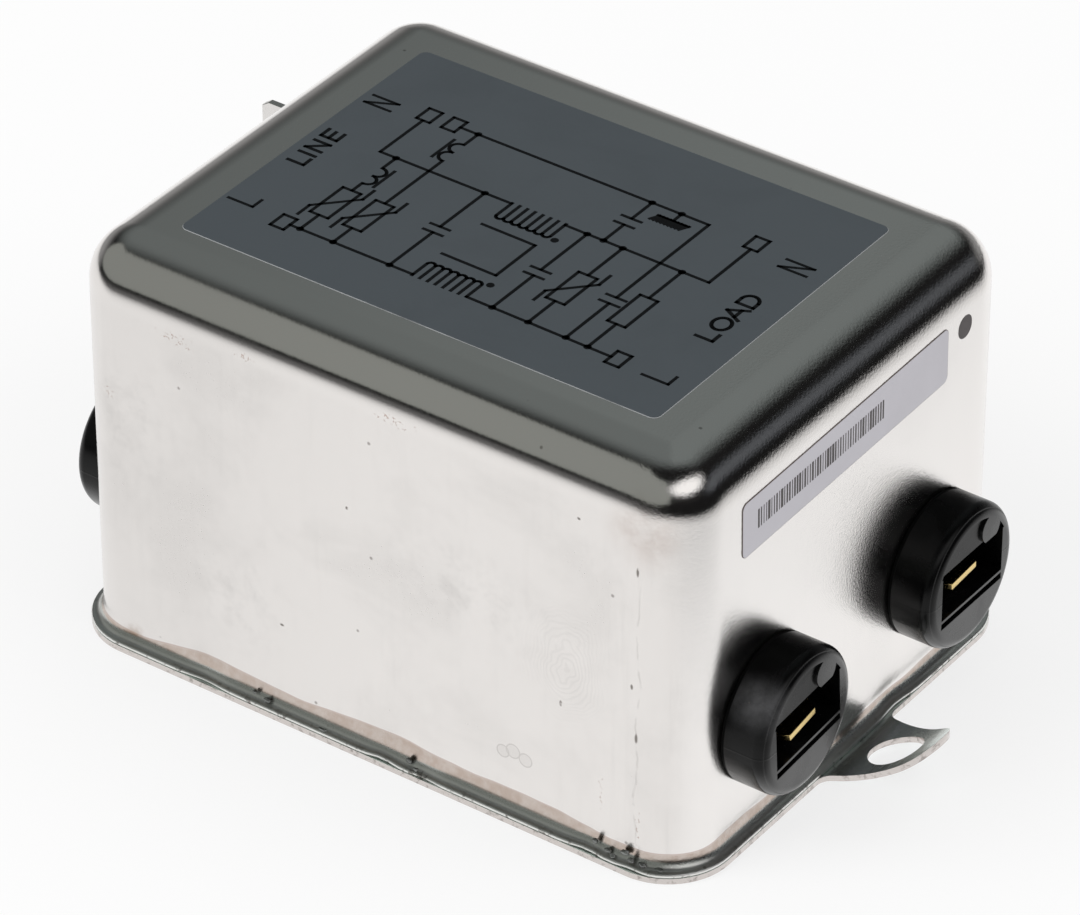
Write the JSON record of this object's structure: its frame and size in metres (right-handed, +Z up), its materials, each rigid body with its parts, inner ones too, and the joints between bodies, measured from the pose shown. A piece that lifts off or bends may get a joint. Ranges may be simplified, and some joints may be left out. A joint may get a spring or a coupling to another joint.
{
  "type": "mains line filter",
  "caption": "Chassis-mounted mains interference filter in a drawn metal can, with shrouded blade terminals at both ends and mounting ears.",
  "frame": {"origin": "middle of the can's footprint, on the underside of the base plate", "axes": "+X to the load end, +Y to the neutral side, +Z up through the can's crown"},
  "size_m": [0.1046, 0.0638, 0.0511],
  "materials": {
    "can_steel": "bright tinned sheet, lightly scuffed",
    "plate_steel": "tinned sheet, duller",
    "rating_foil": "satin slate grey foil",
    "side_paper": "satin pale label",
    "tinned_brass": "tinned brass, satin",
    "earth_wire": "insulated wire",
    "board": "bare laminate",
    "liner": "pressed fibre sheet",
    "core_coating": "epoxy coated ferrite",
    "natural_plastic": "natural nylon",
    "copper_wire": "enamelled copper",
    "resistor_coating": "lacquered film resistor",
    "capacitor_case": "moulded case",
    "varistor_coating": "dipped epoxy",
    "disc_coating": "dipped epoxy",
    "fuse_case": "plain metal case",
    "black_moulding": "black moulded nylon, semi-gloss",
    "brass": "plain brass"
  },
  "bodies": {
    "root": {"can": "can_steel", "base_plate": "plate_steel", "rating_label": "rating_foil", "side_label": "side_paper", "earth_blade": "tinned_brass", "earth_rivet": "tinned_brass", "earth_lead": "earth_wire", "circuit_board": "board", "insulating_liner": "liner", "choke_core": "core_coating", "choke_divider": "natural_plastic", "choke_winding_live": "copper_wire", "choke_winding_neutral": "copper_wire", "bleed_resistor": "resistor_coating", "line_x_capacitor": "capacitor_case", "load_x_capacitor": "capacitor_case", "line_live_varistor": "varistor_coating", "line_neutral_varistor": "varistor_coating", "load_varistor": "varistor_coating", "live_y_capacitor": "disc_coating", "neutral_y_capacitor": "disc_coating", "live_thermal_fuse": "fuse_case", "neutral_thermal_fuse": "fuse_case", "line_live_bushing": "black_moulding", "line_live_blade": "brass", "line_neutral_bushing": "black_moulding", "line_neutral_blade": "brass", "load_live_bushing": "black_moulding", "load_live_blade": "brass", "load_neutral_bushing": "black_moulding", "load_neutral_blade": "brass"}
  },
  "joints": []
}
